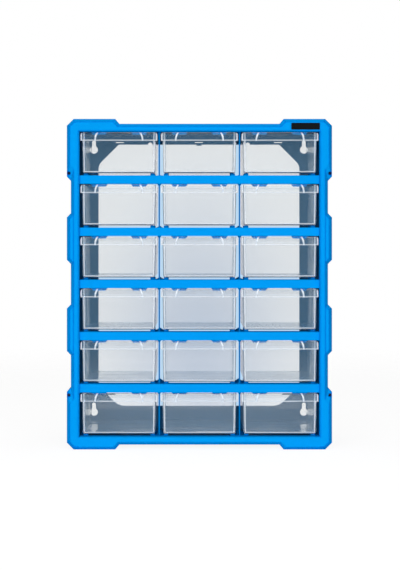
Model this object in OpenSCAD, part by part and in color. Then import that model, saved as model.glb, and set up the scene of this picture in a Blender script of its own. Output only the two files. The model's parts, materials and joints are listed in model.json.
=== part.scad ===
// Parts bin cabinet: a moulded front frame with a lattice of shelf rails and dividers,
// a rear housing with a large window, and clear drawers that slide on plastic runners.
// Millimetres. +X is to the right, the front faces -Y, +Z is up.
// The origin is at the middle of the underside.

/* [Cabinet] */
// Width over the side blocks
cabinet_w = 381; // [360:1:420]
// Height over the top and bottom blocks
cabinet_h = 475; // [440:1:520]
// Depth from the frame's face to the back of the housing
cabinet_d = 160; // [140:1:220]
// Wall of the housing and of the frame's hollow back
wall = 2.4; // [1.8:0.1:3]

/* [Front frame] */
// Depth of the front frame
frame_d = 18; // [16:0.5:24]
// Side bar, from the outermost block to the drawer opening
side_bar = 18; // [16:0.5:24]
// Top bar, from the outermost block to the drawer opening
top_bar = 18.3; // [18:0.1:24]
// Bottom bar, from the outermost block to the drawer opening
bottom_bar = 19; // [18:0.5:26]
// How far the side blocks stand out
block_out = 5.8; // [4:0.1:7]
// How far the top and bottom blocks stand out
block_up = 7; // [4:0.5:7]
// Length of the slope at the end of a block
block_slope = 6; // [4:0.5:9]
// Length of a corner block down the side
corner_block_h = 89; // [80:1:100]
// Length of a corner block along the top
corner_block_w = 75.5; // [60:0.5:90]
// Length of a middle block on the side
mid_block_h = 73; // [50:1:80]
// Middle of a middle block, from the cabinet's middle
mid_block_z = 65.5; // [55:0.5:70]
// Chamfer across the cabinet's corners
corner_cut = 9.7; // [6:0.1:12]
// Width of the sloping rim round the frame's face
rim_w = 4.6; // [3:0.1:5.5]
// Depth of the sloping rim
rim_d = 8; // [5:0.1:9]
// Depth of the frame's solid face, in front of its hollow back
face_d = 12; // [11.5:0.1:14]
// Length of the sloping pad beside each screw
screw_pad = 15; // [12:0.5:20]
// Chamfer round the drawer opening
opening_cut = 1.2; // [0.6:0.1:2]

/* [Lattice] */
// Rows of drawers
rows = 6; // [4:1:7]
// Columns of drawers
cols = 3; // [2:1:4]
// Height of a shelf rail
rail_h = 12; // [10:0.5:14]
// Depth of a shelf rail's upper flange
rail_d = 22; // [18:1:30]
// Depth of a shelf rail's lower flange
rail_lower_d = 14; // [12:0.5:17]
// Wall of a shelf rail
rail_wall = 2; // [1.5:0.1:2.5]
// Width of a divider bar
divider_w = 2; // [1.6:0.1:3]
// Depth of a divider bar
divider_d = 6; // [4:0.5:8]
// How far the dividers stand behind the shelf rails' front
divider_setback = 6; // [3:0.5:8]
// Width of the fillet where a divider meets the rail above
divider_fillet = 2; // [1:0.1:3]
// Height of the fillet where a divider meets the rail above
divider_fillet_h = 3; // [1:0.1:4]
// How far the lattice stands behind the frame's face
lattice_setback = 6; // [5:0.5:8]
// Width of a stop tab where it leaves the rail
tab_w = 24; // [16:0.5:28]
// Slope at each end of a stop tab
tab_slope = 2.7; // [1:0.1:4]
// Height of a stop tab
tab_h = 3.8; // [3:0.1:6]
// Thickness of a stop tab
tab_t = 2.8; // [2:0.1:4]
// Distance between the two stop tabs over a drawer
tab_pitch = 57.8; // [40:0.2:60]

/* [Runners] */
// Length of a runner bracket, from the lattice's front
runner_d = 56; // [40:1:70]
// Distance of the skids' front ends behind the shelf rails' front
skid_setback = 10; // [8:0.5:12]
// Height of a skid above the shelf rail
skid_h = 3; // [1.6:0.1:3.5]
// Width of a skid
skid_w = 6.5; // [5:0.1:8]
// Reach of a skid's far edge, from the divider's side
skid_reach = 12; // [10:0.1:14]
// Height of the guide ridge's rear end above the shelf rail
guide_h = 3; // [1.5:0.1:4]
// Half of the guide ridge's width at its foot
guide_w = 4.6; // [3.5:0.1:5]
// Thickness of a bracket's plate and of the web below it
bracket_t = 2; // [1.5:0.1:3]
// Height of the web at a bracket's rear end
web_end_h = 4; // [3:0.1:8]

/* [Drawers] */
// Gap between a drawer's floor and the skids below it
slide_gap = 0.3; // [0.2:0.05:0.5]
// Gap over a drawer
drawer_top_gap = 1.2; // [1:0.1:2.5]
// Gap beside a drawer's lip
lip_side_gap = 1.6; // [1:0.1:2]
// How far the lip stands out beside the drawer's body
lip_wing = 2.1; // [1.6:0.1:3]
// Height of the lip band
lip_h = 12; // [10:0.1:16]
// How far the lip band stands in front of the drawer's front
lip_out = 1.5; // [1:0.1:2]
// Thickness of the lip band behind the drawer's front
lip_back = 1; // [0.6:0.1:1.4]
// Radius of the edge round the lip band's face
lip_edge = 0.8; // [0.4:0.1:1.2]
// Radius of the lip's upper corners
lip_r = 4; // [2:0.5:5]
// Reach of the finger pull in front of the drawer's front
pull_out = 6; // [4:0.1:6.4]
// Drop of the finger pull below the drawer's top
pull_h = 6.6; // [6:0.1:9]
// Thickness of the finger pull
pull_t = 1.4; // [1:0.1:1.8]
// Distance between the two ribs under the finger pull
pull_rib_pitch = 68.2; // [50:0.2:76]
// Drop of each rib's foot below the drawer's top
pull_rib_h = 11.5; // [10:0.1:13]
// Thickness of a rib under the finger pull, at its top
pull_rib_t = 1.2; // [0.8:0.1:2]
// Thickness of a rib under the finger pull, at its foot
pull_rib_foot_t = 2.6; // [1.5:0.1:4]
// How far each rib curves inwards at its top
pull_rib_lean = 3.6; // [1:0.1:4]
// How far the drawer's front stands behind the frame's face
drawer_setback = 7; // [6.5:0.1:8]
// Thickness of the drawer's front
drawer_front_t = 1.8; // [1.4:0.1:2.4]
// Thickness of the drawer's other walls
drawer_wall = 1.6; // [1.2:0.1:2]
// Thickness of the drawer's floor
drawer_floor = 1.8; // [1.4:0.1:2.4]
// Draft of each side wall, from floor to rim
drawer_draft = 1.2; // [0.5:0.1:2]
// Radius of the drawer's lower corners
drawer_r = 3; // [2:0.5:5]
// Radius of the edge round the drawer's front
front_edge = 1.7; // [0.8:0.1:1.8]
// Gap between a drawer and the housing's back
drawer_rear_gap = 9.5; // [8:0.5:14]

/* [Housing] */
// Width of the rear window
window_w = 309.4; // [240:0.2:312]
// Bottom of the window, from the cabinet's underside
window_z = 44.9; // [40:0.1:60]
// Gap from the window to the top of the cabinet
window_top_gap = 27.6; // [26:0.1:40]
// Width and height of the cut across each corner of the window
window_cut = 31; // [24:1:38]
// Radius where a cut meets the window's side
window_side_r = 16; // [4:1:20]
// Radius where a cut meets the window's top
window_top_r = 4; // [2:0.5:12]
// Radius where a cut meets the window's bottom
window_bottom_r = 24; // [4:1:28]
// Radius of the half-round notches in the window's top
notch_r = 3.4; // [2:0.1:5]
// Distance between the two notches
notch_pitch = 150.4; // [120:0.2:180]
// Distance between the catch slots above the window
catch_pitch = 122; // [100:1:124]
// Width of a catch slot
catch_w = 12.5; // [6:0.5:16]
// Height of a catch slot
catch_h = 1.4; // [1:0.1:3]
// Gap from the window to a catch slot
catch_gap = 2.6; // [2.4:0.1:6]
// Width of the tongue that hangs in the middle of the window's top
tongue_w = 8; // [4:0.5:12]
// Length of that tongue
tongue_h = 1.6; // [1:0.1:3]
// Distance between the keyholes across the cabinet
keyhole_x_pitch = 323.4; // [316:0.2:330]
// Distance between the keyholes up the cabinet
keyhole_z_pitch = 404; // [340:1:406]
// Radius of a keyhole's round part
keyhole_r = 6; // [5:0.5:7]
// Width of a keyhole's slot
keyhole_slot_w = 6; // [4:0.1:7]
// Length of a keyhole's slot, from the round part's middle
keyhole_slot_h = 14.5; // [10:0.5:16]
// Height of the stiffening flange round the window
flange_d = 4; // [2:0.5:6]

/* [Fasteners and badge] */
// Distance of each frame screw from the frame's widest edge
screw_inset = 3; // [2.8:0.1:5]
// Distance of each frame screw from the end of its corner block
screw_from_end = 10.8; // [9:0.1:14]
// How far each screw's head lies below the rim's outer edge
screw_sink = 3; // [1:0.1:4]
// Radius of a screw's head
head_r = 2; // [1.7:0.1:2.2]
// Height of a screw's head
head_h = 1.6; // [1.2:0.1:2]
// Span of the cross recess, in head radii
recess_span = 1.1; // [0.8:0.1:1.4]
// Width of the cross recess's arms, in head radii
recess_arm = 0.3; // [0.2:0.05:0.4]
// Depth of the cross recess, in head heights
recess_depth = 0.6; // [0.3:0.1:0.7]
// Gap round a screw's head
head_gap = 0.3; // [0.1:0.05:0.4]
// Radius of a screw's shank
shank_r = 1.2; // [1:0.1:1.4]
// Length of a screw's shank
shank_l = 22; // [18:1:26]
// Gap round a shank in the frame's clearance hole
hole_gap = 0.3; // [0.2:0.05:0.4]
// Gap round a shank in its boss, where the thread would bite
pilot_gap = 0.1; // [0.05:0.05:0.15]
// How far the pilot hole runs past a screw's tip
pilot_past = 2; // [1:0.5:4]
// Solid end of a boss behind its pilot hole
boss_end = 1; // [1:0.5:4]
// Radius of the boss behind each screw
boss_r = 4; // [3:0.1:5]
// Gap round a boss in the frame's hollow back
boss_gap = 1; // [0.5:0.1:2]
// Width of the badge plate
badge_w = 41; // [20:0.2:44]
// Height of the badge plate
badge_h = 9.8; // [6:0.1:10]
// Thickness of the badge plate
badge_t = 0.8; // [0.5:0.1:1.5]
// Radius of the badge plate's corners
badge_r = 1.2; // [0.5:0.1:3]
// Gap from the badge to the drawer opening's right-hand edge
badge_side_gap = 0; // [0:0.5:20]
// Gap from the badge to the chamfer over the drawer opening
badge_low_gap = 1.1; // [0.5:0.1:1.6]

/* [Hidden] */
drawer_nodes = [for (r = [1:rows], c = [1:cols]) str("drawer_r", r, "_c", c)];
rail_nodes = [for (r = [1:rows - 1]) str("shelf_rail_", r)];
divider_nodes = [for (c = [1:cols - 1]) str("divider_", c)];
runner_nodes = [for (r = [1:rows]) str("runners_row_", r)];
$fn = 48;

// Faces of the cabinet, from front to back
front_y = -cabinet_d / 2;
back_y = cabinet_d / 2;
frame_back_y = front_y + frame_d;
lattice_y = front_y + lattice_setback;
divider_y = lattice_y + divider_setback;
divider_back_y = divider_y + divider_d;
rail_back_y = lattice_y + rail_d;
skid_y = lattice_y + skid_setback;

// The drawer opening and its cells
open_w = cabinet_w - 2 * side_bar;
open_z0 = bottom_bar;
open_h = cabinet_h - top_bar - bottom_bar;
cell_w = (open_w - (cols - 1) * divider_w) / cols;
cell_h = (open_h - (rows - 1) * rail_h) / rows;
function cell_x(c) = (c - (cols + 1) / 2) * (cell_w + divider_w);
function cell_z(r) = open_z0 + (rows - r) * (cell_h + rail_h);
function divider_x(c) = cell_x(c) + (cell_w + divider_w) / 2;
function rail_z(r) = cell_z(r) - rail_h;

// The drawer
drawer_y = front_y + drawer_setback;
drawer_lift = skid_h + slide_gap;
drawer_h = cell_h - drawer_lift - drawer_top_gap;
lip_w = cell_w - 2 * lip_side_gap;
drawer_top_w = lip_w - 2 * lip_wing;
drawer_low_w = drawer_top_w - 2 * drawer_draft;
housing_inner_y = back_y - wall;
drawer_d = housing_inner_y - drawer_rear_gap - drawer_y;
tab_y = min(frame_back_y, lattice_y + rail_lower_d) - tab_t;
runner_end_y = lattice_y + runner_d;

// The screws
screw_x = cabinet_w / 2 - screw_inset;
screw_z = corner_block_h - screw_from_end;
hole_r = shank_r + hole_gap;
head_seat_y = front_y + rim_d + screw_sink + head_h;
boss_d = head_seat_y + shank_l + pilot_past + boss_end - frame_back_y;

// The badge
badge_x = open_w / 2 - badge_side_gap - badge_w / 2;
badge_z = cabinet_h - top_bar + opening_cut + badge_low_gap + badge_h / 2;

// The rear wall
keyhole_low_z = (cabinet_h - keyhole_z_pitch) / 2;
window_top = cabinet_h - window_top_gap;

cut = 0.5;
arc_steps = 6;
edge_steps = 3;
block_root = 4;
blue = "dodgerblue";

// Stands a flat shape upright, from y towards the back by depth d
module upright(y, d) {
    translate([0, y + d, 0]) rotate([90, 0, 0]) linear_extrude(d) children();
}

// Extrudes a side view, drawn in Y and Z, from x = 0 to w
module across_to(w) {
    rotate([90, 0, 90]) linear_extrude(w) children();
}

// The same, over width w about x = 0
module across(w) {
    translate([-w / 2, 0, 0]) across_to(w) children();
}

function unit(v) = v / norm(v);
function inward(a, b) = let (u = unit(b - a)) [u[1], -u[0]];
// Moves every side of a clockwise outline inwards by d
function inset(pts, d) = let (n = len(pts)) [
    for (i = [0:n - 1])
        let (
            side_1 = inward(pts[(i + n - 1) % n], pts[i]),
            side_2 = inward(pts[i], pts[(i + 1) % n])
        )
        pts[i] + d * (side_1 + side_2) / (1 + side_1 * side_2)
];

// A clockwise outline with each corner i rounded to radius r[i]
function rounded(pts, r) = let (n = len(pts)) [
    for (i = [0:n - 1])
        let (
            a = unit(pts[(i + n - 1) % n] - pts[i]),
            b = unit(pts[(i + 1) % n] - pts[i]),
            half = acos(a * b) / 2,
            centre = pts[i] + unit(a + b) * r[i] / sin(half),
            first = atan2(-a[0], a[1])
        )
        for (step = [0:arc_steps])
            let (turn = first - (180 - 2 * half) * step / arc_steps)
            centre + r[i] * [cos(turn), sin(turn)]
];

// A quarter of the cabinet's stepped outline, clockwise from the top middle,
// about the cabinet's centre. pad shortens the corner block down the side.
function quarter(pad) = let (
    x1 = cabinet_w / 2,
    x0 = x1 - block_out,
    z1 = cabinet_h / 2,
    z0 = z1 - block_up,
    block_x = x1 - corner_block_w,
    block_z = z1 - corner_block_h + pad,
    mid_top = mid_block_z + mid_block_h / 2,
    mid_low = mid_block_z - mid_block_h / 2
) [
    [block_x, z0], [block_x + block_slope, z1],
    [x1 - corner_cut, z1], [x1, z1 - corner_cut],
    [x1, block_z + block_slope], [x0, block_z],
    [x0, mid_top], [x1, mid_top - block_slope],
    [x1, mid_low + block_slope], [x0, mid_low]
];
function turned(pts, sx, sz, back) = let (n = len(pts)) [
    for (i = [0:n - 1]) let (p = pts[back ? n - 1 - i : i])
        [sx * p[0], sz * p[1] + cabinet_h / 2]
];
// The whole outline, from the underside up
function outline() = let (q = quarter(0)) concat(
    turned(q, 1, 1, false), turned(q, 1, -1, true),
    turned(q, -1, -1, false), turned(q, -1, 1, true)
);

// A solid through a list of rings, front to back. Each is [outline, y], all with as many points.
module loft(rings) {
    n = len(rings[0][0]);
    last = len(rings) - 1;
    polyhedron(
        points = [for (ring = rings, p = ring[0]) [p[0], ring[1], p[1]]],
        faces = concat(
            [[for (i = [0:n - 1]) i]],
            [[for (i = [n - 1:-1:0]) last * n + i]],
            [
                for (k = [0:last - 1], i = [0:n - 1])
                    [k * n + i, (k + 1) * n + i, (k + 1) * n + (i + 1) % n, k * n + (i + 1) % n]
            ]
        ),
        convexity = 10
    );
}

// A plate with this outline, from y back by depth d, whose front edge is rounded to radius r
module eased_plate(pts, y, d, r) {
    loft(concat(
        [for (i = [0:edge_steps]) let (a = 90 * i / edge_steps)
            [inset(pts, r * (1 - sin(a))), y + r * (1 - cos(a))]],
        [[pts, y + d]]
    ));
}

// One corner block, from well inside the frame, clockwise. sx and sz choose the corner.
// Its two outer ends run on inwards along their slopes, so that its rim meets the body's.
function corner_block(sx, sz, pad) = let (
    q = quarter(pad),
    into = rim_w + block_root,
    side_run = into * block_slope / block_out,
    top_run = into * block_slope / block_up,
    pts = [
        [q[0][0] - top_run, q[0][1] - into], q[1], q[2], q[3], q[4],
        [q[5][0] - into, q[5][1] - side_run], [q[0][0] - top_run, q[5][1] - side_run]
    ]
) turned(pts, sx, sz, sx * sz < 0);

// One block in a side's middle, built the same way
function middle_block(sx, sz) = let (
    q = quarter(0),
    into = rim_w + block_root,
    run = into * block_slope / block_out,
    pts = [
        [q[6][0] - into, q[6][1] + run], q[7], q[8], [q[9][0] - into, q[9][1] - run]
    ]
) turned(pts, sx, sz, sx * sz < 0);

// The sloping rim: each convex part of the outline narrows to the frame's face
module rim(rim_y) {
    body = box_outline(
        cabinet_w - 2 * block_out, block_up, cabinet_h - 2 * block_up
    );
    loft([[inset(body, rim_w), front_y], [body, rim_y]]);
    for (sx = [-1, 1], sz = [-1, 1]) {
        loft([
            [inset(corner_block(sx, sz, screw_pad), rim_w), front_y],
            [corner_block(sx, sz, 0), rim_y]
        ]);
        loft([[inset(middle_block(sx, sz), rim_w), front_y], [middle_block(sx, sz), rim_y]]);
    }
}

function box_outline(w, z0, h) = [
    [-w / 2, z0 + h], [w / 2, z0 + h], [w / 2, z0], [-w / 2, z0]
];

module screw_places() {
    for (sx = [-1, 1], z = [screw_z, cabinet_h - screw_z])
        translate([sx * screw_x, z]) children();
}

// A round pin or hole along Y
module rod(y, d, r) {
    translate([0, y, 0]) rotate([-90, 0, 0]) cylinder(h = d, r = r);
}

module screw_rods(y, d, r) {
    for (sx = [-1, 1], z = [screw_z, cabinet_h - screw_z])
        translate([sx * screw_x, 0, z]) rod(y, d, r);
}

// The pair of trapezoid stops over one drawer, hanging from height z
module stop_tabs(x, z) {
    for (side = [-1, 1])
        upright(tab_y, tab_t)
            translate([x + side * tab_pitch / 2, z])
                polygon([
                    [-tab_w / 2, 0], [tab_w / 2, 0],
                    [tab_w / 2 - tab_slope, -tab_h], [-tab_w / 2 + tab_slope, -tab_h]
                ]);
}

// Front view of the badge plate and of its recess
module badge_outline() {
    x = badge_w / 2;
    z = badge_h / 2;
    translate([badge_x, badge_z])
        polygon(rounded([[-x, z], [x, z], [x, -z], [-x, -z]], [for (i = [0:3]) badge_r]));
}

// Blue moulding round the drawers: a stepped ring with a sloping rim, hollow behind
module front_frame() {
    rim_y = front_y + rim_d;
    groove_y = front_y + face_d;
    opening = box_outline(open_w, open_z0, open_h);
    color(blue) {
        difference() {
            union() {
                upright(rim_y, frame_d - rim_d) polygon(outline());
                rim(rim_y);
            }
            upright(front_y - cut, frame_d + 2 * cut) polygon(opening);
            loft([
                [inset(opening, -opening_cut), front_y],
                [opening, front_y + opening_cut]
            ]);
            upright(groove_y, frame_back_y - groove_y + cut) difference() {
                polygon(inset(outline(), wall));
                polygon(inset(opening, -wall));
                screw_places() circle(r = boss_r + boss_gap);
            }
            screw_rods(front_y - cut, head_seat_y - front_y + cut, head_r + head_gap);
            screw_rods(front_y, frame_d + cut, hole_r);
            upright(front_y - cut, badge_t + cut) badge_outline();
        }
        for (c = [1:cols]) stop_tabs(cell_x(c), open_z0 + open_h);
    }
}

// Keyhole outline, with its slot upwards
module keyhole() {
    circle(r = keyhole_r);
    translate([-keyhole_slot_w / 2, 0]) square([keyhole_slot_w, keyhole_slot_h - keyhole_slot_w / 2]);
    translate([0, keyhole_slot_h - keyhole_slot_w / 2]) circle(d = keyhole_slot_w);
}

// The rear window, grown outwards by g
module window_shape(g) {
    x = window_w / 2 + g;
    top = window_top + g;
    low = window_z - g;
    leg = window_cut + g * (2 - sqrt(2));
    polygon(rounded(
        [
            [-x + leg, top], [x - leg, top], [x, top - leg], [x, low + leg],
            [x - leg, low], [-x + leg, low], [-x, low + leg], [-x, top - leg]
        ],
        [for (r = [
            window_top_r, window_top_r, window_side_r, window_side_r,
            window_bottom_r, window_bottom_r, window_side_r, window_side_r
        ]) r + g]
    ));
}

// The small openings at the window's top: two half-round notches and three catch slots
module window_details() {
    for (side = [-1, 1])
        translate([side * notch_pitch / 2, window_top]) circle(r = notch_r);
    for (i = [-1, 0, 1])
        translate([i * catch_pitch - catch_w / 2, window_top + catch_gap]) square([catch_w, catch_h]);
}

// Dark tub behind the frame, with the window and keyholes in its back
module rear_housing() {
    tub_d = cabinet_d - frame_d;
    color("midnightblue") difference() {
        union() {
            difference() {
                upright(frame_back_y, tub_d) polygon(outline());
                upright(frame_back_y - cut, tub_d - wall + cut) polygon(inset(outline(), wall));
            }
            upright(housing_inner_y - flange_d, flange_d + wall / 2) window_shape(wall);
            intersection() {
                upright(frame_back_y, boss_d) screw_places() circle(r = boss_r);
                upright(frame_back_y, boss_d) polygon(outline());
            }
        }
        upright(housing_inner_y - flange_d - cut, flange_d + wall + 2 * cut) difference() {
            union() {
                window_shape(0);
                window_details();
            }
            translate([-tongue_w / 2, window_top - tongue_h]) square([tongue_w, tongue_h]);
        }
        upright(housing_inner_y - cut, wall + 2 * cut)
            for (sx = [-1, 1], up = [0, keyhole_z_pitch])
                translate([sx * keyhole_x_pitch / 2, keyhole_low_z + up]) keyhole();
        screw_rods(frame_back_y - cut, boss_d - boss_end + cut, shank_r + pilot_gap);
    }
}

// Bare plate in its recess at the frame's top right
module badge_plate() {
    color("black") upright(front_y, badge_t) badge_outline();
}

// Four pan-head screws with a cross recess, which hold the frame on the housing
module frame_screws() {
    slot_l = recess_span * head_r;
    slot_w = recess_arm * head_r;
    slot_d = recess_depth * head_h;
    color("silver") difference() {
        union() {
            screw_rods(head_seat_y - head_h, head_h, head_r);
            screw_rods(head_seat_y, shank_l, shank_r);
        }
        for (turn = [0, 90])
            upright(head_seat_y - head_h - cut, slot_d + cut) screw_places()
                rotate(turn) square([slot_l, slot_w], center = true);
    }
}

// Channel-section bar under row r, with flanges slotted from behind for the dividers
module shelf_rail(r) {
    z = rail_z(r);
    color(blue) {
        difference() {
            translate([-open_w / 2, lattice_y, z]) cube([open_w, rail_d, rail_h]);
            translate([-open_w / 2 - cut, lattice_y + rail_wall, z + rail_wall])
                cube([open_w + 2 * cut, rail_d, rail_h - 2 * rail_wall]);
            translate([-open_w / 2 - cut, lattice_y + rail_lower_d, z - cut])
                cube([open_w + 2 * cut, rail_d, rail_wall + 2 * cut]);
            for (c = [1:cols - 1])
                translate([divider_x(c) - divider_w / 2, divider_y, z - cut])
                    cube([divider_w, rail_d, rail_h + 2 * cut]);
        }
        for (c = [1:cols]) stop_tabs(cell_x(c), z);
    }
}

// Upright bar right of column c, which passes through the rails' slots
module divider(c) {
    color(blue) translate([divider_x(c), 0, 0]) {
        translate([-divider_w / 2, divider_y, open_z0]) cube([divider_w, divider_d, open_h]);
        for (r = [1:rows])
            upright(divider_y, divider_d) translate([0, cell_z(r) + cell_h])
                polygon([
                    [-divider_w / 2 - divider_fillet, 0],
                    [divider_w / 2 + divider_fillet, 0],
                    [divider_w / 2, -divider_fillet_h],
                    [-divider_w / 2, -divider_fillet_h]
                ]);
    }
}

// Half of a runner bracket, on the side towards +X: a flat plate behind the bar below it,
// a skid on top for the drawer's edge, and a web under the plate that tapers to the rear.
// half_w is half the thickness of what stands between the two drawers, seat_y the bar's back,
// and web_h and end_h the web's height at its front and rear.
module half_bracket(half_w, seat_y, web_h, end_h) {
    plate_d = runner_end_y - seat_y;
    translate([0, seat_y, -bracket_t]) cube([half_w + skid_reach, plate_d, bracket_t]);
    translate([half_w + skid_reach - skid_w, skid_y, 0])
        cube([skid_w, runner_end_y - skid_y, skid_h]);
    across_to(bracket_t / 2) polygon([
        [seat_y, -bracket_t], [runner_end_y, -bracket_t],
        [runner_end_y, -end_h], [seat_y, -web_h]
    ]);
}

// The ridge between two drawers, which rises from nothing at the front
module guide_ridge() {
    intersection() {
        upright(divider_back_y, runner_end_y - divider_back_y)
            polygon([[0, 0], [guide_w, 0], [0, guide_h]]);
        across_to(guide_w)
            polygon([[divider_back_y, 0], [runner_end_y, 0], [runner_end_y, guide_h]]);
    }
}

// The four brackets that carry row r. The lowest row's stand on the housing's floor.
module runners_row(r) {
    lowest = r == rows;
    seat_y = lowest ? frame_back_y : rail_back_y;
    floor_h = open_z0 - block_up - wall;
    web_h = lowest ? floor_h : rail_h;
    end_h = lowest ? floor_h : web_end_h;
    color(blue) translate([0, 0, cell_z(r)]) {
        for (c = [1:cols - 1], side = [0, 1])
            translate([divider_x(c), 0, 0]) mirror([side, 0, 0]) {
                half_bracket(divider_w / 2, seat_y, web_h, end_h);
                guide_ridge();
            }
        for (side = [-1, 1])
            translate([side * open_w / 2, 0, 0]) mirror([side > 0 ? 1 : 0, 0, 0])
                half_bracket(0, seat_y, web_h, end_h);
    }
}

function arc(cx, cy, r, a0, a1, n) = [
    for (i = [0:n]) let (a = a0 + (a1 - a0) * i / n) [cx + r * cos(a), cy + r * sin(a)]
];

// Front view of the drawer's tub, clockwise: drafted sides and round lower corners
function tub_outline(low_w, top_w, z0, z1, r) = concat(
    [[-top_w / 2, z1], [top_w / 2, z1]],
    arc(low_w / 2 - r, z0 + r, r, 0, -90, arc_steps),
    arc(-low_w / 2 + r, z0 + r, r, -90, -180, arc_steps)
);

// Front view of the lip band, clockwise, with round upper corners
function lip_outline() = let (x = lip_w / 2, z = drawer_h - lip_h) concat(
    arc(-x + lip_r, drawer_h - lip_r, lip_r, 180, 90, arc_steps),
    arc(x - lip_r, drawer_h - lip_r, lip_r, 90, 0, arc_steps),
    [[x, z], [-x, z]]
);

// Side view of the finger pull, which curls forwards and down: a quarter of an ellipse,
// at depth t below its outer surface
function pull_curve(t) = [
    for (a = [0:15:90])
        [-(pull_out - t) * sin(a), drawer_h - pull_h + (pull_h - t) * cos(a)]
];
module pull_section() {
    inner = pull_curve(pull_t);
    n = len(inner);
    polygon(concat(pull_curve(0), [for (i = [n - 1:-1:0]) inner[i]]));
}

// One edge of a rib in front view: thickest at its foot, and curving inwards to its top
function rib_edge(side) = [
    for (i = [0:arc_steps])
        let (f = i / arc_steps, t = pull_rib_foot_t + (pull_rib_t - pull_rib_foot_t) * f)
        [
            -pull_rib_lean * f * f + side * t / 2,
            drawer_h - pull_rib_h + (pull_rib_h - pull_t / 2) * f
        ]
];

// The pull's two ribs, which taper back to the band below
module pull_ribs() {
    outer = rib_edge(1);
    inner = rib_edge(-1);
    foot_z = drawer_h - pull_rib_h;
    intersection() {
        upright(-pull_out, pull_out) for (side = [0, 1])
            mirror([side, 0]) translate([pull_rib_pitch / 2, 0])
                polygon(concat(outer, [for (i = [arc_steps:-1:0]) inner[i]]));
        across(lip_w) polygon(concat(
            pull_curve(pull_t / 2), [[-lip_out / 2, foot_z], [0, foot_z]]
        ));
    }
}

// One clear drawer, with the middle of its front's lower edge at the origin
module drawer() {
    color("lightcyan", 0.5) {
        difference() {
            eased_plate(
                tub_outline(drawer_low_w, drawer_top_w, 0, drawer_h, drawer_r),
                0, drawer_d, front_edge
            );
            upright(drawer_front_t, drawer_d - drawer_front_t - drawer_wall)
                polygon(tub_outline(
                    drawer_low_w - 2 * drawer_wall, drawer_top_w - 2 * drawer_wall,
                    drawer_floor, drawer_h + cut, drawer_r - drawer_wall
                ));
        }
        eased_plate(lip_outline(), -lip_out, lip_out + lip_back, lip_edge);
        across(lip_w - 2 * lip_r) pull_section();
        pull_ribs();
    }
}

front_frame();
rear_housing();
badge_plate();
frame_screws();
for (r = [1:rows - 1])
    shelf_rail(r);
for (c = [1:cols - 1])
    divider(c);
for (r = [1:rows])
    runners_row(r);
for (r = [1:rows], c = [1:cols])
    translate([cell_x(c), drawer_y, cell_z(r) + drawer_lift]) drawer();
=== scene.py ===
"""Looks of the parts bin cabinet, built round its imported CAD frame.

Metres, +Z up, the front towards -Y. Each part gets a material, and the larger moulded ones get
rounded edges. The rest is the camera, the stage and the lights. The cabinet gets no new piece."""

import json
import math

import bpy
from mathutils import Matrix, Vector


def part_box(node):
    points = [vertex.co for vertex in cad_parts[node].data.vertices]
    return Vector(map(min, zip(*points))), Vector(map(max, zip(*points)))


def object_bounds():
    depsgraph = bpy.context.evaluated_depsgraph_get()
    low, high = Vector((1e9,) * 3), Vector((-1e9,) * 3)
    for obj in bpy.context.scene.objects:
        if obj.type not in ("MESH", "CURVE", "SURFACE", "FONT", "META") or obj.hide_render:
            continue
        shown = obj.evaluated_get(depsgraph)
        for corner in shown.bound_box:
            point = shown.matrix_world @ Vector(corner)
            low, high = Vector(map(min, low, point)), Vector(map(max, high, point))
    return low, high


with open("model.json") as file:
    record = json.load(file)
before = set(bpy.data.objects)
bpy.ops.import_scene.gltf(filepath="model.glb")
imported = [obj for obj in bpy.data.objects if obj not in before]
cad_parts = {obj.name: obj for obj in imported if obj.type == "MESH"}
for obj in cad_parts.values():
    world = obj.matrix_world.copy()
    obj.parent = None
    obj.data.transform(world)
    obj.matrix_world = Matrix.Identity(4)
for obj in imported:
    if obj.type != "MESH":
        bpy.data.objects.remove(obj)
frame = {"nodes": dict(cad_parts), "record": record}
cad_low, cad_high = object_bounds()
nodes = frame["nodes"]

# ---- Camera: straight at the front, above its middle, with a long lens ----
CAMERA_DISTANCE = 2.05  # from the front face
CAMERA_X, CAMERA_Z = -0.010, 0.308
FRAME_HEIGHT = 0.816  # what the picture's height spans at the front face
FRAME_CENTRE_X, FRAME_CENTRE_Z = 0.0008, 0.2366
SENSOR = 36.0
NEAREST, FARTHEST = 0.05, 60  # what the camera sees, from its lens


def make_camera():
    data = bpy.data.cameras.new("camera")
    data.sensor_width = SENSOR
    data.lens = SENSOR * CAMERA_DISTANCE / FRAME_HEIGHT
    data.shift_x = (FRAME_CENTRE_X - CAMERA_X) / FRAME_HEIGHT
    data.shift_y = (FRAME_CENTRE_Z - CAMERA_Z) / FRAME_HEIGHT
    data.clip_start, data.clip_end = NEAREST, FARTHEST
    camera = bpy.data.objects.new("camera", data)
    camera.location = (CAMERA_X, cad_low.y - CAMERA_DISTANCE, CAMERA_Z)
    camera.rotation_euler = (math.radians(90), 0, 0)
    bpy.context.scene.collection.objects.link(camera)
    bpy.context.scene.camera = camera


# ---- Node helpers: each value is a number, a colour or another node's output ----
def plug(tree, socket, value):
    if isinstance(value, bpy.types.NodeSocket):
        tree.links.new(value, socket)
    elif socket.type == "RGBA":
        socket.default_value = (*value, 1)
    else:
        socket.default_value = value


def add_node(tree, kind, inputs, **settings):
    """A new node with these settings, and its inputs plugged by name or number."""
    node = tree.nodes.new(kind)
    for name, setting in settings.items():
        setattr(node, name, setting)
    for socket, value in inputs.items():
        plug(tree, node.inputs[socket], value)
    return node


def math_node(tree, operation, *values):
    node = add_node(tree, "ShaderNodeMath", dict(enumerate(values)), operation=operation)
    return node.outputs["Value"]


def product(tree, first, *others):
    for value in others:
        first = math_node(tree, "MULTIPLY", first, value)
    return first


def strongest(tree, first, *others):
    for value in others:
        first = math_node(tree, "MAXIMUM", first, value)
    return first


def inverse(tree, value):
    return math_node(tree, "SUBTRACT", 1.0, value)


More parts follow.
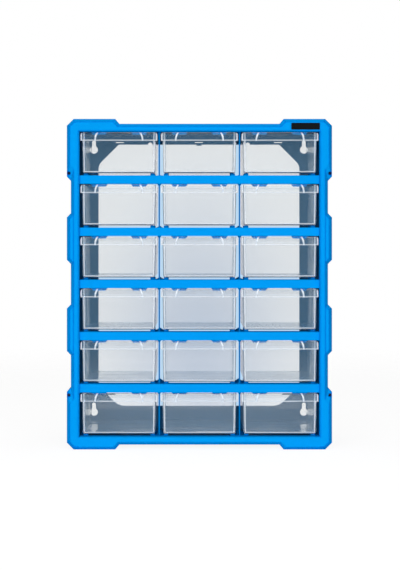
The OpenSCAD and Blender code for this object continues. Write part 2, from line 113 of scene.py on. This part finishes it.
def map_range(tree, value, start, end, low=0.0, high=1.0, smooth=False):
    """low at start and high at end, and held there beyond them."""
    node = add_node(
        tree, "ShaderNodeMapRange",
        {"Value": value, "From Min": start, "From Max": end, "To Min": low, "To Max": high},
        interpolation_type="SMOOTHSTEP" if smooth else "LINEAR",
    )
    return node.outputs["Result"]


def span(tree, value, low, high):
    """Maps 0 to 1 onto low to high."""
    return map_range(tree, value, 0.0, 1.0, low, high)


MASK_SOFT = 0.0003


def above(tree, value, low, soft=MASK_SOFT):
    """1 from low on, and 0 a little below it."""
    return map_range(tree, value, low - soft, low)


def below(tree, value, high, soft=MASK_SOFT):
    """1 up to high, and 0 a little above it."""
    return map_range(tree, value, high + soft, high)


def between(tree, value, low, high):
    return product(tree, above(tree, value, low), below(tree, value, high))


def blend_colours(tree, share, first, second):
    node = add_node(
        tree, "ShaderNodeMix", {"Factor": share, "A": first, "B": second}, data_type="RGBA"
    )
    return node.outputs["Result"]


def coordinates(tree, kind):
    """Object coordinates are metres. Generated ones run from 0 to 1 over a piece."""
    return tree.nodes.new("ShaderNodeTexCoord").outputs[kind]


def split(tree, vector):
    node = add_node(tree, "ShaderNodeSeparateXYZ", {"Vector": vector})
    return node.outputs["X"], node.outputs["Y"], node.outputs["Z"]


def noise(tree, scale, detail=3.0, stretch=None):
    """Cloudy noise, with scale as its cells to the metre, or stretch as those along X, Y and Z."""
    place = coordinates(tree, "Object")
    if stretch:
        stretched = add_node(
            tree, "ShaderNodeVectorMath", {0: place, 1: stretch}, operation="MULTIPLY"
        )
        place = stretched.outputs["Vector"]
    node = add_node(
        tree, "ShaderNodeTexNoise", {"Vector": place, "Scale": scale, "Detail": detail}
    )
    return node.outputs["Fac"]


def facing(tree):
    """0 where a surface is looked at straight on, and 1 where it is edge-on."""
    return add_node(tree, "ShaderNodeLayerWeight", {"Blend": 0.5}).outputs["Facing"]


def ray(tree, kind):
    return tree.nodes.new("ShaderNodeLightPath").outputs[kind]


def seen_directly(tree):
    """1 for camera, mirror and see-through rays, and 0 for the rays that carry light."""
    kinds = ("Is Camera Ray", "Is Glossy Ray", "Is Transmission Ray")
    return strongest(tree, *(ray(tree, kind) for kind in kinds))


def from_behind(tree):
    return tree.nodes.new("ShaderNodeNewGeometry").outputs["Backfacing"]


# ---- Shader helpers ----
def new_material(name):
    """An empty material, its node tree and the socket for its surface."""
    material = bpy.data.materials.new(name)
    material.use_nodes = True
    tree = material.node_tree
    tree.nodes.clear()
    return material, tree, tree.nodes.new("ShaderNodeOutputMaterial").inputs["Surface"]


def principled(tree, inputs):
    return add_node(tree, "ShaderNodeBsdfPrincipled", inputs).outputs["BSDF"]


def diffuse(tree, colour):
    return add_node(tree, "ShaderNodeBsdfDiffuse", {"Color": colour}).outputs["BSDF"]


def transparent(tree, colour=(1, 1, 1)):
    return add_node(tree, "ShaderNodeBsdfTransparent", {"Color": colour}).outputs["BSDF"]


def emission(tree, colour=(1, 1, 1), strength=1.0):
    node = add_node(tree, "ShaderNodeEmission", {"Color": colour, "Strength": strength})
    return node.outputs["Emission"]


def mix_shaders(tree, share, first, second):
    node = add_node(tree, "ShaderNodeMixShader", {"Fac": share, 1: first, 2: second})
    return node.outputs["Shader"]


BEVEL_SAMPLES = 8
SHADED_EDGE_DOT = 0.88  # the product of the true and the rounded normal where the painted edge shade is full


def rounded_normal(tree, radius):
    """The surface's normal, as if its edges were worn round."""
    node = add_node(tree, "ShaderNodeBevel", {"Radius": radius}, samples=BEVEL_SAMPLES)
    return node.outputs["Normal"]


def painted_edge_shade(tree, radius):
    """1 on the edges and 0 on the flats, where the rounded normal leaves the true one: the mask of
    the painted edge shade.
    """
    true_normal = tree.nodes.new("ShaderNodeNewGeometry").outputs["Normal"]
    dot = add_node(
        tree, "ShaderNodeVectorMath", {0: rounded_normal(tree, radius), 1: true_normal},
        operation="DOT_PRODUCT",
    )
    return map_range(tree, dot.outputs["Value"], 1.0, SHADED_EDGE_DOT)


def bump(tree, height, distance, strength=1.0, radius=0.0):
    inputs = {"Height": height, "Distance": distance, "Strength": strength}
    if radius:
        inputs["Normal"] = rounded_normal(tree, radius)
    return add_node(tree, "ShaderNodeBump", inputs).outputs["Normal"]


# ---- Moulded plastic and metal ----
CLOUD_SCALE, SHEEN_SCALE, GRAIN_SCALE = 14, 60, 2200  # cells to the metre
CLOUD_DARKER = 0.93  # the colour's share where the clouds are darkest
GRAIN_DETAIL = 2
GRAIN_HEIGHT = 0.0002
METAL_SHEEN_SCALE = 900
OPENING_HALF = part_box("shelf_rail_1")[1].x
OPENING_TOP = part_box("drawer_r1_c1")[1].z + 0.001  # just over the drawers


def outside_opening(tree):
    """0 on what hangs inside the frame's opening, such as the stop tabs, and 1 round it: where the
    painted edge shade may fall.
    """
    x, _, z = split(tree, coordinates(tree, "Object"))
    across = between(tree, x, -OPENING_HALF, OPENING_HALF)
    return inverse(tree, product(tree, across, below(tree, z, OPENING_TOP)))


def moulded_plastic(name, colour, roughness, grain, gloss, radius=0.0, edge_shade_colour=None):
    """Opaque plastic with a faintly cloudy colour, an uneven sheen and a fine grain. Its edges
    shade as if rounded to the radius, and where an edge shade colour is given they take it as a
    painted shade."""
    material, tree, surface = new_material(name)
    darker = tuple(CLOUD_DARKER * c for c in colour)
    base = blend_colours(tree, noise(tree, CLOUD_SCALE), darker, colour)
    if edge_shade_colour:
        # Painted shade: a darker colour on the edges, kept off the parts inside the opening.
        edge = product(tree, painted_edge_shade(tree, radius), outside_opening(tree))
        base = blend_colours(tree, edge, base, edge_shade_colour)
    fine = noise(tree, GRAIN_SCALE, GRAIN_DETAIL)
    shader = principled(tree, {
        "Base Color": base,
        "Roughness": span(tree, noise(tree, SHEEN_SCALE), *roughness),
        "Normal": bump(tree, fine, GRAIN_HEIGHT, grain, radius),
        "Specular IOR Level": gloss,
    })
    tree.links.new(shader, surface)
    return material


def metal(name, colour, roughness):
    material, tree, surface = new_material(name)
    shader = principled(tree, {
        "Metallic": 1.0,
        "Base Color": colour,
        "Roughness": span(tree, noise(tree, METAL_SHEEN_SCALE), *roughness),
    })
    tree.links.new(shader, surface)
    return material


# ---- Clear plastic: what its shading follows on a drawer, in metres ----
DRAWER_LOW, DRAWER_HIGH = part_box("drawer_r1_c1")
DRAWER_SIZE = DRAWER_HIGH - DRAWER_LOW
LIP_HEIGHT = 0.012
LIP_DEPTH = 0.0075  # from the pull's front to behind the lip
LIP_LINE = 0.0016  # height of the bright line at the lip's foot
LIP_END = 0.0022  # width of the lip's bright ends
PULL_REACH = 0.0042  # how far the pull stands out from the lip
EDGE_DEPTH = 0.009  # from the pull's front to behind the front wall
EDGE_LINE = (0.0014, 0.003)  # the bright line, measured inwards from the front's outline
WALL_FOOT = 0.0519  # from the middle to a side wall's outside, at the floor
WALL_SLOPE = 0.0205  # how far it leans out on the way up
WALL_INSIDE = 0.0492  # from the middle to a side wall's inside
FLOOR_TOP = 0.0021
RIB_FROM_MIDDLE = 0.0341  # where a rib starts, at its foot
RIB_HALF = 0.0011
RIB_HEIGHT = 0.0115
RIB_LEAN = 0.0036  # how far its top bends towards the middle
PIPED_LIGHT_FALL = 2.5  # how fast a side wall's frost, and the piped light painted on it, fades towards the rear

CLEAR_IOR = 1.49
CLEAR_TINT = (1.0, 0.985, 0.96)
CLEAR_PASSES = (0.97, 0.97, 0.97)  # what goes straight through
CLEAR_ROUGHNESS = (0.015, 0.035)
CLEAR_SHEEN_SCALE = 40
WALL_ROUGHER = 0.01
WALL_WAVES, FLOOR_WAVES = (1, 70, 7), (8, 40, 1)  # flow waves to the metre along X, Y and Z
WALL_WAVE, FLOOR_WAVE = 3.0, 0.8  # their share of the height
WAVE_HEIGHT = 0.0014
WAVE_DETAIL = 1.0
# The haze is a faint real scatter. On the lip's foot line, its ends, the ribs, the front's outline
# and the walls' fronts it is whiter and stronger: a painted highlight for the glints of rounded
# edges and the light piped along the walls.
HAZE_COLOUR, PAINTED_HIGHLIGHT_COLOUR = (0.34, 0.67, 1.0), (0.88, 0.94, 1.0)
HAZE_ALL_OVER = (0.053, 0.3)  # straight on and edge-on
HAZE_STEEPNESS = 4.0
HAZE_ON = {
    "plate": 0.1, "line": 0.52, "ends": 0.5, "ribs": 0.85,
    "frost_and_piped_light": 0.5, "edges": 0.35, "floor": 0.08,
}
PAINTED_HIGHLIGHT_ON = ("line", "ends", "ribs", "frost_and_piped_light", "edges")
PULL_SEE_THROUGH = 0.95


def place_in_drawer(tree):
    """Metres across from the drawer's middle, back from its front and up from its foot."""
    x, y, z = split(tree, coordinates(tree, "Generated"))
    from_middle = math_node(tree, "ABSOLUTE", math_node(tree, "SUBTRACT", x, 0.5))
    return tuple(
        product(tree, share, size) for share, size in zip((from_middle, y, z), DRAWER_SIZE)
    )


def drawer_masks(tree):
    """1 on each named region of a drawer and 0 elsewhere."""
    across, back, up = place_in_drawer(tree)
    top, half = DRAWER_SIZE.z, DRAWER_SIZE.x / 2
    lip_foot = top - LIP_HEIGHT
    at_lip, behind_lip = below(tree, back, LIP_DEPTH), above(tree, back, LIP_DEPTH)
    lip = product(tree, at_lip, above(tree, up, lip_foot))
    # A rib bends with the square of its height.
    rise = math_node(tree, "DIVIDE", math_node(tree, "SUBTRACT", up, top - RIB_HEIGHT), RIB_HEIGHT)
    leaning = math_node(tree, "ADD", across, product(tree, rise, rise, RIB_LEAN))
    from_rib = math_node(
        tree, "ABSOLUTE", math_node(tree, "SUBTRACT", leaning, RIB_FROM_MIDDLE)
    )
    walls = product(tree, above(tree, across, WALL_INSIDE), behind_lip)
    to_rear = map_range(tree, back, 0.0, DRAWER_SIZE.y, 1.0, 0.0)
    side = math_node(tree, "ADD", product(tree, up, WALL_SLOPE), WALL_FOOT)
    from_edge = math_node(tree, "MINIMUM", math_node(tree, "SUBTRACT", side, across), up)
    return {
        "plate": product(tree, lip, above(tree, back, PULL_REACH)),
        "pull": product(tree, lip, below(tree, back, PULL_REACH)),
        "line": product(tree, at_lip, between(tree, up, lip_foot, lip_foot + LIP_LINE)),
        "ends": product(tree, lip, above(tree, across, half - LIP_END)),
        "ribs": product(tree, lip, below(tree, from_rib, RIB_HALF)),
        "walls": walls,
        "frost_and_piped_light": product(tree, walls, math_node(tree, "POWER", to_rear, PIPED_LIGHT_FALL)),
        "floor": product(tree, below(tree, up, FLOOR_TOP), behind_lip),
        "edges": product(
            tree, below(tree, back, EDGE_DEPTH), between(tree, from_edge, *EDGE_LINE),
            below(tree, up, lip_foot),
        ),
    }


def clear_plastic(name):
    """It refracts and mirrors, and a faint haze on it catches the light; on its edge lines, ribs
    and walls' fronts the haze is whiter, a painted highlight. Shadow rays pass straight through, so
    that light reaches the drawers' insides."""
    material, tree, surface = new_material(name)
    masks = drawer_masks(tree)
    roughness = math_node(
        tree, "ADD", span(tree, noise(tree, CLEAR_SHEEN_SCALE), *CLEAR_ROUGHNESS),
        product(tree, masks["walls"], WALL_ROUGHER),
    )
    wall_waves = noise(tree, 1.0, WAVE_DETAIL, WALL_WAVES)
    floor_waves = noise(tree, 1.0, WAVE_DETAIL, FLOOR_WAVES)
    waves = math_node(
        tree, "ADD",
        product(tree, wall_waves, masks["walls"], WALL_WAVE),
        product(tree, floor_waves, masks["floor"], FLOOR_WAVE),
    )
    plastic = principled(tree, {
        "IOR": CLEAR_IOR,
        "Transmission Weight": 1.0,
        "Base Color": CLEAR_TINT,
        "Roughness": roughness,
        "Normal": bump(tree, waves, WAVE_HEIGHT),
    })
    bright = strongest(tree, *(masks[region] for region in PAINTED_HIGHLIGHT_ON))
    haze = diffuse(tree, blend_colours(tree, bright, HAZE_COLOUR, PAINTED_HIGHLIGHT_COLOUR))
    steep = math_node(tree, "POWER", facing(tree), HAZE_STEEPNESS)
    haze_share = strongest(
        tree, span(tree, steep, *HAZE_ALL_OVER),
        *(product(tree, masks[region], share) for region, share in HAZE_ON.items()),
    )
    hazy = mix_shaders(tree, haze_share, plastic, haze)
    bare_pull = math_node(tree, "SUBTRACT", masks["pull"], masks["ribs"])
    see_through = strongest(
        tree, ray(tree, "Is Shadow Ray"), product(tree, bare_pull, PULL_SEE_THROUGH)
    )
    tree.links.new(mix_shaders(tree, see_through, hazy, transparent(tree, CLEAR_PASSES)), surface)
    return material


# ---- Stage: a paper floor, and a wall close behind the rear window with the cabinet's shade painted on it ----
FLOOR_FULL = 0.7  # within this distance of the cabinet the paper is whole
FLOOR_REACH = 1.9  # and here it has faded into the backdrop
PAPER_COLOUR = (0.95, 0.95, 0.95)
PAPER_GLOW = 1.12
PAPER_GLOW_SHARE = 0.8  # the rest takes light and shadow

SHADE_GAP = 0.012  # from the housing's back to the wall
SHADE_WIDTH = 0.318
SHADE_LOW, SHADE_HIGH = 0.04, 0.452
SHADE_COLOUR = (0.64, 0.68, 0.79)  # the painted shade at its deepest, seen through the drawers
SHADE_BETWEEN = (0.5, 0.7, 0.88)  # seen directly between the drawers: a bluer painted tint for the light the blue lattice throws there
SHADE_MIDDLE = (0.0, 0.12)  # across and up
SHADE_REACH = (0.211, 0.362)  # from there to where it is white
SHADE_SLANT = (0.25, 0.42)  # it fades out where it is looked at from the side or above


def flat_stage(name, corners, material):
    mesh = bpy.data.meshes.new(name)
    mesh.from_pydata(corners, [], [(0, 1, 2, 3)])
    mesh.materials.append(material)
    piece = bpy.data.objects.new(name, mesh)
    bpy.context.scene.collection.objects.link(piece)


def paper(name):
    """White paper that reads as white when looked at, and keeps a soft shadow. It fades out at
    its rim, and its underside isn't seen."""
    material, tree, surface = new_material(name)
    glow_share = product(tree, seen_directly(tree), PAPER_GLOW_SHARE)
    sheet = mix_shaders(
        tree, glow_share, diffuse(tree, PAPER_COLOUR), emission(tree, strength=PAPER_GLOW)
    )
    away = add_node(
        tree, "ShaderNodeVectorMath", {0: coordinates(tree, "Object")}, operation="LENGTH"
    )
    rim = map_range(tree, away.outputs["Value"], FLOOR_FULL, FLOOR_REACH, smooth=True)
    gone = strongest(tree, rim, from_behind(tree))
    tree.links.new(mix_shaders(tree, gone, sheet, transparent(tree)), surface)
    return material


def make_floor():
    corners = [(-1, -1), (1, -1), (1, 1), (-1, 1)]
    flat_stage("floor", [(x * FLOOR_REACH, y * FLOOR_REACH, 0) for x, y in corners], paper("paper"))


def shaded_wall(name):
    """The backdrop with the cabinet's shade painted on it as a glow, white at its rim. Only its
    front is seen.
    """
    material, tree, surface = new_material(name)
    x, _, z = split(tree, coordinates(tree, "Object"))
    squares = []
    for place, middle, reach in zip((x, z), SHADE_MIDDLE, SHADE_REACH):
        part = math_node(tree, "DIVIDE", math_node(tree, "SUBTRACT", place, middle), reach)
        squares.append(product(tree, part, part))
    distance = math_node(tree, "SQRT", math_node(tree, "ADD", *squares))
    shade = map_range(tree, distance, 0.0, 1.0, 1.0, 0.0, smooth=True)
    through_drawers = blend_colours(tree, shade, (1, 1, 1), SHADE_COLOUR)
    # Painted shade and tint: a glow in these colours, not light the wall receives.
    colour = blend_colours(tree, ray(tree, "Is Camera Ray"), through_drawers, SHADE_BETWEEN)
    slanted = map_range(tree, facing(tree), *SHADE_SLANT)
    hidden = strongest(tree, from_behind(tree), slanted)
    seen = product(tree, seen_directly(tree), inverse(tree, hidden))
    tree.links.new(mix_shaders(tree, seen, transparent(tree), emission(tree, colour)), surface)
    return material


def make_shaded_wall():
    y = cad_high.y + SHADE_GAP
    corners = [(-1, SHADE_LOW), (1, SHADE_LOW), (1, SHADE_HIGH), (-1, SHADE_HIGH)]
    flat_stage(
        "shaded_wall", [(side * SHADE_WIDTH / 2, y, z) for side, z in corners],
        shaded_wall("shaded_wall"),
    )


# ---- Light ----
WORLD_LIGHT = 0.16  # the white world's share in the light
ROOM_COLOUR = (0.06, 0.10, 0.14)  # the dim room behind the camera
ROOM_AHEAD, ROOM_AHEAD_SOFT = -0.97, 0.07
ROOM_UP, ROOM_UP_SOFT = 0.5, 0.25


def make_world():
    """White where it is looked at. A dim room behind the camera and above it is seen by mirror
    rays alone."""
    world = bpy.data.worlds.new("studio")
    world.use_nodes = True
    bpy.context.scene.world = world
    tree = world.node_tree
    tree.nodes.clear()
    _, ahead, up = split(tree, coordinates(tree, "Generated"))
    room = strongest(
        tree,
        below(tree, ahead, ROOM_AHEAD, ROOM_AHEAD_SOFT),
        above(tree, up, ROOM_UP, ROOM_UP_SOFT),
    )
    mirrored = product(tree, room, ray(tree, "Is Glossy Ray"))
    background = add_node(tree, "ShaderNodeBackground", {
        "Color": blend_colours(tree, mirrored, (1, 1, 1), ROOM_COLOUR),
        "Strength": span(tree, seen_directly(tree), WORLD_LIGHT, 1.0),
    })
    out = tree.nodes.new("ShaderNodeOutputWorld")
    tree.links.new(background.outputs["Background"], out.inputs["Surface"])


def softbox(name, place, target, width, height, power):
    """A rectangular lamp that lights the object, and isn't mirrored in it."""
    data = bpy.data.lights.new(name, "AREA")
    data.shape = "RECTANGLE"
    data.size, data.size_y = width, height
    data.energy = power
    lamp = bpy.data.objects.new(name, data)
    lamp.location = place
    lamp.visible_glossy = lamp.visible_transmission = False
    lamp.rotation_euler = (Vector(target) - Vector(place)).to_track_quat("-Z", "Y").to_euler()
    bpy.context.scene.collection.objects.link(lamp)


make_camera()
make_world()
make_floor()
make_shaded_wall()
softbox("overhead", (0, -0.3, 2.2), target=(0, -0.1, 0), width=2.0, height=2.0, power=12)
# The key's lower edge stays above the floor, which would hide it from the bottom row.
softbox("key", (-0.2, -2.6, 0.76), target=(0, 0, 0.24), width=3.0, height=1.4, power=57)
bpy.context.scene.view_settings.view_transform = "Standard"

# ---- The cabinet's parts ----
SATIN = {"roughness": (0.36, 0.46), "grain": 0.05, "gloss": 0.0}
SLOT_MATERIALS = {
    # Painted shade: the frame's edges take a darker blue, for the frontal light that they face away
    # from.
    "blue_plastic": moulded_plastic(
        "blue_plastic", (0.001, 0.35, 0.93), radius=0.004, edge_shade_colour=(0.0, 0.17, 0.8), **SATIN
    ),
    "dark_plastic": moulded_plastic(
        "dark_plastic", (0.01, 0.08, 0.2), roughness=(0.42, 0.55), grain=0.12, gloss=0.2
    ),
    "clear_plastic": clear_plastic("clear_plastic"),
    # Painted shade: the screws' metal is made dark for the shadow deep in their holes, not for its
    # own colour.
    "screws": metal("screw_dark_shaded_metal", (0.1, 0.1, 0.11), roughness=(0.4, 0.55)),
    "badge": moulded_plastic(
        "badge_black", (0.004, 0.005, 0.007), roughness=(0.3, 0.4), grain=0.03, gloss=0.15
    ),
}
# The rails take the frame's blue. The dividers and runners behind them take a deeper blue, a
# painted shade for the shadow they stand in.
rail_blue = moulded_plastic("rail_blue_plastic", (0.001, 0.34, 0.93), radius=0.001, **SATIN)
shaded_blue = moulded_plastic("shaded_blue_plastic", (0.0, 0.2, 0.6), radius=0.002, **SATIN)
LATTICE_MATERIALS = {"shelf_rail": rail_blue, "divider": shaded_blue, "runners": shaded_blue}
EDGE_WIDTHS = {
    "front_frame": 0.0006, "rear_housing": 0.0006,
    "shelf_rail": 0.0003, "divider": 0.0003, "drawer": 0.0003,
}


EDGE_SEGMENTS = 2
EDGE_ANGLE = 30  # only edges sharper than this are rounded


def dress(obj, material):
    obj.data.materials.clear()
    obj.data.materials.append(material)


def round_edges(obj, width):
    modifier = obj.modifiers.new("edges", "BEVEL")
    modifier.width = width
    modifier.segments = EDGE_SEGMENTS
    modifier.limit_method = "ANGLE"
    modifier.angle_limit = math.radians(EDGE_ANGLE)


def by_prefix(table, name, default=None):
    """The table's value for the prefix that the name starts with."""
    return next((value for prefix, value in table.items() if name.startswith(prefix)), default)


for part in frame["record"]["subparts"]:
    name = part["node"]
    dress(nodes[name], by_prefix(LATTICE_MATERIALS, name, SLOT_MATERIALS[part["material_slot"]]))
    edge_width = by_prefix(EDGE_WIDTHS, name)
    if edge_width:
        round_edges(nodes[name], edge_width)
